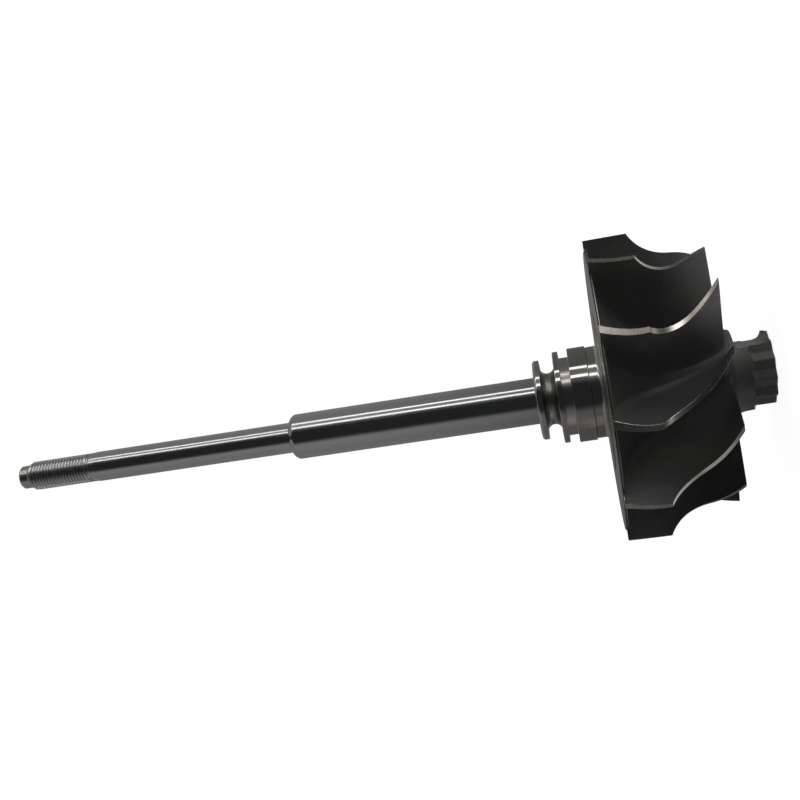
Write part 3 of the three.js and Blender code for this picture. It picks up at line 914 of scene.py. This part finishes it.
def star_radius(angle):
    """The twelve-point head's outline, two hexagons a twelfth of a turn apart, with softened points."""
    pitch = 2 * math.pi / HEAD_POINTS
    off_point = abs((angle - math.radians(HEAD_TURN) + pitch / 2) % pitch - pitch / 2)
    flank = HEAD_RADIUS * math.cos(HEXAGON_HALF_SIDE) / math.cos(HEXAGON_HALF_SIDE - off_point)
    softened = POINT_SOFT * max(1 - off_point / math.radians(POINT_SOFT_ANGLE), 0) ** 2
    return flank - softened


def neck_radius(height):
    stations = (NECK_EDGE, NECK_WAIST, NECK_SWELL, NECK_TOP)
    radii = (NECK_RADIUS, NECK_WAIST_RADIUS, NECK_SWELL_RADIUS, HUB_RADIUS)
    return float(np.interp(height, stations, radii))


def nose_radius(angle, height):
    """The head's flutes run out into the neck in round ends, the deeper the further."""
    star = star_radius(angle)
    if height < HEAD_EDGE:
        return star - HEAD_EDGE + math.sqrt(max(HEAD_EDGE ** 2 - (HEAD_EDGE - height) ** 2, 0))
    neck = neck_radius(height)
    depth = NECK_RADIUS - star
    reach = (NECK_EDGE - HEAD_TOP) * (depth / (NECK_RADIUS - FLUTE_RADIUS)) ** FLUTE_END_POWER
    share = max((height - HEAD_TOP) / reach, 0)
    rise = 1 - math.sqrt(1 - share ** 2) if share < 1 else 1 + FLUTE_END_CLIMB * (share - 1)
    flute = star + depth * rise
    soft = max(1 - abs(neck - flute) / NECK_SOFT, 0)
    return min(neck, flute) - soft ** 2 * NECK_SOFT / 4


def balance_cutter():
    """A bar across the nose: a square wall, a flat floor and a lip towards the end face, corners round."""
    outside = 2 * NECK_RADIUS
    outline = [(outside, CUT_WALL)]
    for height, fillet, side in CUT_CORNERS:
        for i in range(CUT_ARC_STEPS + 1):
            angle = math.radians(135 - 45 * side + 90 * i / CUT_ARC_STEPS)
            outline.append((CUT_FLOOR + fillet * (1 + math.cos(angle)), height + fillet * math.sin(angle)))
    outline.append((outside, CUT_LIP))
    count = len(outline)
    vertices = [Vector((x, side * outside, z)) * MM for side in (-1, 1) for x, z in outline]
    faces = [tuple(range(count)), tuple(range(2 * count - 1, count - 1, -1))]
    faces += [(i, i + count, (i + 1) % count + count, (i + 1) % count) for i in range(count)]
    mesh = bpy.data.meshes.new("balance_cutter")
    mesh.from_pydata(vertices, [], faces)
    mesh.transform(Matrix.Rotation(math.radians(CUT_TURN), 4, "Z"))
    outward = bmesh.new()
    outward.from_mesh(mesh)
    bmesh.ops.recalc_face_normals(outward, faces=outward.faces)
    outward.to_mesh(mesh)
    outward.free()
    return add_object("balance_cutter", mesh)


def in_cutter(x, y, z):
    """Whether a point is inside the balancing cut or on its surface."""
    turn = math.radians(CUT_TURN)
    across = x * math.cos(turn) + y * math.sin(turn) - CUT_FLOOR
    if not CUT_LIP < z < CUT_WALL or across < -CUT_TOUCH:
        return False
    for height, fillet, side in CUT_CORNERS:
        if (z - height) * side > 0 and across < fillet:
            return math.hypot(across - fillet, z - height) < fillet + CUT_TOUCH
    return True


def make_nose(cast, cut_metal):
    """The head and neck in one mesh, with rows closest where the shape bends most, then the cut."""
    edge_rows, flank_rows, flute_end_rows, margin_rows, neck_rows = NOSE_ROWS
    quarter = math.pi / 2
    above = NECK_EDGE + FLUTE_MARGIN
    reach = NECK_EDGE - HEAD_TOP
    heights = [0, *(HEAD_EDGE * (1 - math.cos(turn)) for turn in spread(0, quarter, edge_rows))]
    heights += spread(HEAD_EDGE, HEAD_TOP, flank_rows)
    heights += [HEAD_TOP + reach * math.sin(turn) for turn in spread(0, quarter, flute_end_rows)]
    heights += spread(NECK_EDGE, above, margin_rows) + spread(above, NECK_TOP, neck_rows)
    vertices, faces = round_body(nose_radius, heights, NOSE_SEGMENTS)
    nose = add_piece("nose_cast", vertices, faces, [cast, cut_metal],
                     ["hub_neck", "nose_boss"])
    cutter = balance_cutter()
    cut = nose.modifiers.new("balance_cut", "BOOLEAN")
    cut.operation = "DIFFERENCE"
    cut.solver = "EXACT"
    cut.object = cutter
    shaped = bpy.data.meshes.new_from_object(nose.evaluated_get(bpy.context.evaluated_depsgraph_get()))
    nose.modifiers.clear()
    nose.data = shaped
    bpy.data.objects.remove(cutter)
    shaped.polygons.foreach_set("use_smooth", [True] * len(shaped.polygons))
    shaped.set_sharp_from_angle(angle=math.radians(NOSE_SHARP))
    for face in shaped.polygons:
        face.material_index = int(in_cutter(*(face.center / MM)))


# Blades

WRAP_LENGTH = BLADE_BACK - EXIT_AT_TIP


def wrap(z):
    """Angle of a blade's middle surface at height z, and its slope in radians a millimetre."""
    s = (BLADE_BACK - z) / WRAP_LENGTH
    t = 1 - s
    a, b, c, d = WRAP
    angle = a * t ** 3 + 3 * b * s * t ** 2 + 3 * c * s ** 2 * t + d * s ** 3
    slope = 3 * ((b - a) * t ** 2 + 2 * (c - b) * s * t + (d - c) * s ** 2)
    return np.radians(angle), np.radians(slope) / WRAP_LENGTH


def shroud_radius(z):
    """The edge at the housing: straight at full radius, then an arc into the exit's cylinder."""
    drop = WHEEL_RADIUS - EXIT_RADIUS
    length = TIP_CORNER - SHROUD_ARC_START
    size = (length ** 2 + drop ** 2) / (2 * drop)
    along = min(max(z - SHROUD_ARC_START, 0), length)
    return EXIT_RADIUS + size - math.sqrt(size ** 2 - along ** 2)


def shroud_point(column):
    """The housing edge at a column, as (radius, height)."""
    columns = (0, TIP_COLUMN, ARC_COLUMN, LAST_COLUMN)
    z = float(np.interp(column, columns, (BLADE_BACK, TIP_CORNER, SHROUD_ARC_START, EXIT_AT_TIP)))
    radius = WHEEL_RADIUS if column <= TIP_COLUMN else shroud_radius(z)
    return radius, z


def root_point(column):
    """The blade's foot at a column, a little inside the hub."""
    if column <= 0:
        return DISC_RADIUS - ROOT_DEPTH, BLADE_BACK
    turn = LAST_COLUMN - ROOT_LAST
    if column < turn:
        return flare_point(ROOT_ANGLE * ((turn - column) / ROOT_SPAN) ** ROOT_POWER, -ROOT_DEPTH)
    start, share = flare_point(0, -ROOT_DEPTH), (column - turn) / ROOT_LAST
    return (start[0] + (HUB_RADIUS - ROOT_DEPTH - start[0]) * share,
            start[1] + (EXIT_AT_ROOT - start[1]) * share)


def hub_distance(points):
    """How far each (radius, height) point stands off the hub and disc."""
    line = [(HUB_RADIUS, NECK_TOP), (HUB_RADIUS, NECK_TOP + 1), (HUB_RADIUS, NECK_TOP + 2)]
    line += flare(0, 90, FLARE_LINE_STEPS) + [(DISC_RADIUS, DISC_BACK)]
    line = np.array(line)
    start, step = line[:-1], line[1:] - line[:-1]
    gap = points[:, None, :] - start
    share = np.clip((gap * step).sum(2) / (step ** 2).sum(1), 0, 1)
    away = gap - share[:, :, None] * step
    nearest = np.hypot(away[..., 0], away[..., 1])
    pick = nearest.argmin(1)
    rows = np.arange(len(points))
    step, away = step[pick], away[rows, pick]
    outside = step[:, 0] * away[:, 1] - step[:, 1] * away[:, 0] < 0
    return np.where(outside, nearest[rows, pick], 0)


def blade_grid():
    """Columns along the blade and rows up it, as (radius, height), with the tangential half thickness."""
    first, last = EDGE / 4, EDGE / 3
    back, arc, exit_side = COLUMN_STEPS
    columns = [0, first, *spread(first, TIP_COLUMN, back), *spread(TIP_COLUMN, ARC_COLUMN, arc)]
    columns += [*spread(ARC_COLUMN, LAST_COLUMN - last, exit_side), LAST_COLUMN]
    shares = [i / BLADE_ROWS for i in range(BLADE_ROWS)]
    rows = [ROW_EVENNESS * share + (1 - ROW_EVENNESS) * share ** 2 for share in shares]
    grid = []
    for column in columns:
        foot, top = np.array(root_point(column)), np.array(shroud_point(column))
        length = np.hypot(*(top - foot))
        for row in [*rows, 1 - EDGE / length, 1]:
            grid.append((*(foot + (top - foot) * row), row, column))
    grid = np.array(grid)
    radius, z, up, column = grid.T
    share = (BLADE_BACK - z) / WRAP_LENGTH
    thickness = TIP_THICKNESS_BACK + (TIP_THICKNESS_EXIT - TIP_THICKNESS_BACK) * share
    thickness += ROOT_THICKENING * (1 - up)
    fillet = np.interp(column, FILLET_COLUMNS, FILLET_SIZES)
    off = np.minimum(hub_distance(grid[:, :2]), fillet)
    flank = fillet - np.sqrt(fillet ** 2 - (fillet - off) ** 2)
    angle, slope = wrap(z)
    half = (thickness / 2 + flank) * np.hypot(1, radius * slope)
    rim = (up >= 1) | (column <= 0) | (column >= LAST_COLUMN)
    return radius, z, angle, half - EDGE * rim, len(columns), len(rows) + 2


def make_blades(cast, edge):
    radius, z, angle, half, columns, rows = blade_grid()
    faces, indices = [], []

    def at(side, i, j):
        return (side * columns + i) * rows + j

    def quad(a, b, c, d, index):
        faces.append((a, b, c, d))
        indices.append(index)

    for i in range(columns - 1):
        for j in range(rows - 1):
            index = int(j == rows - 2 or i == 0)
            quad(at(0, i, j), at(0, i, j + 1), at(0, i + 1, j + 1), at(0, i + 1, j), index)
            quad(at(1, i, j), at(1, i + 1, j), at(1, i + 1, j + 1), at(1, i, j + 1), index)
        quad(at(0, i, 0), at(0, i + 1, 0), at(1, i + 1, 0), at(1, i, 0), 0)
        top = rows - 1
        quad(at(0, i, top), at(1, i, top), at(1, i + 1, top), at(0, i + 1, top), 1)
    for j in range(rows - 1):
        end = columns - 1
        quad(at(0, 0, j), at(1, 0, j), at(1, 0, j + 1), at(0, 0, j + 1), 1)
        quad(at(0, end, j), at(0, end, j + 1), at(1, end, j + 1), at(1, end, j), 0)
    for k in range(BLADES):
        vertices = []
        for side in (-1, 1):
            turn = angle + side * half / radius - 2 * math.pi * k / BLADES
            vertices += np.column_stack((radius * np.cos(turn), radius * np.sin(turn), z)).tolist()
        piece = add_piece(f"blade_cast_{k + 1:02d}", vertices, faces, [cast, edge],
                          [f"blade_{k + 1:02d}"], None, indices)
        piece.data.set_sharp_from_angle(angle=math.radians(BLADE_SHARP))


make_camera()
make_world()
make_lamps()
make_floor()
scene.view_settings.view_transform = "Standard"
scene.view_settings.look = "None"

ground, turned_bar, cast, edge = ground_steel(), turned_steel(), cast_alloy(), machined_edge()
make_shaft(ground, turned_bar)
make_thread(turned_bar)
make_hub(cast, faced_back())
make_nose(cast, ground_cut())
make_blades(cast, edge)
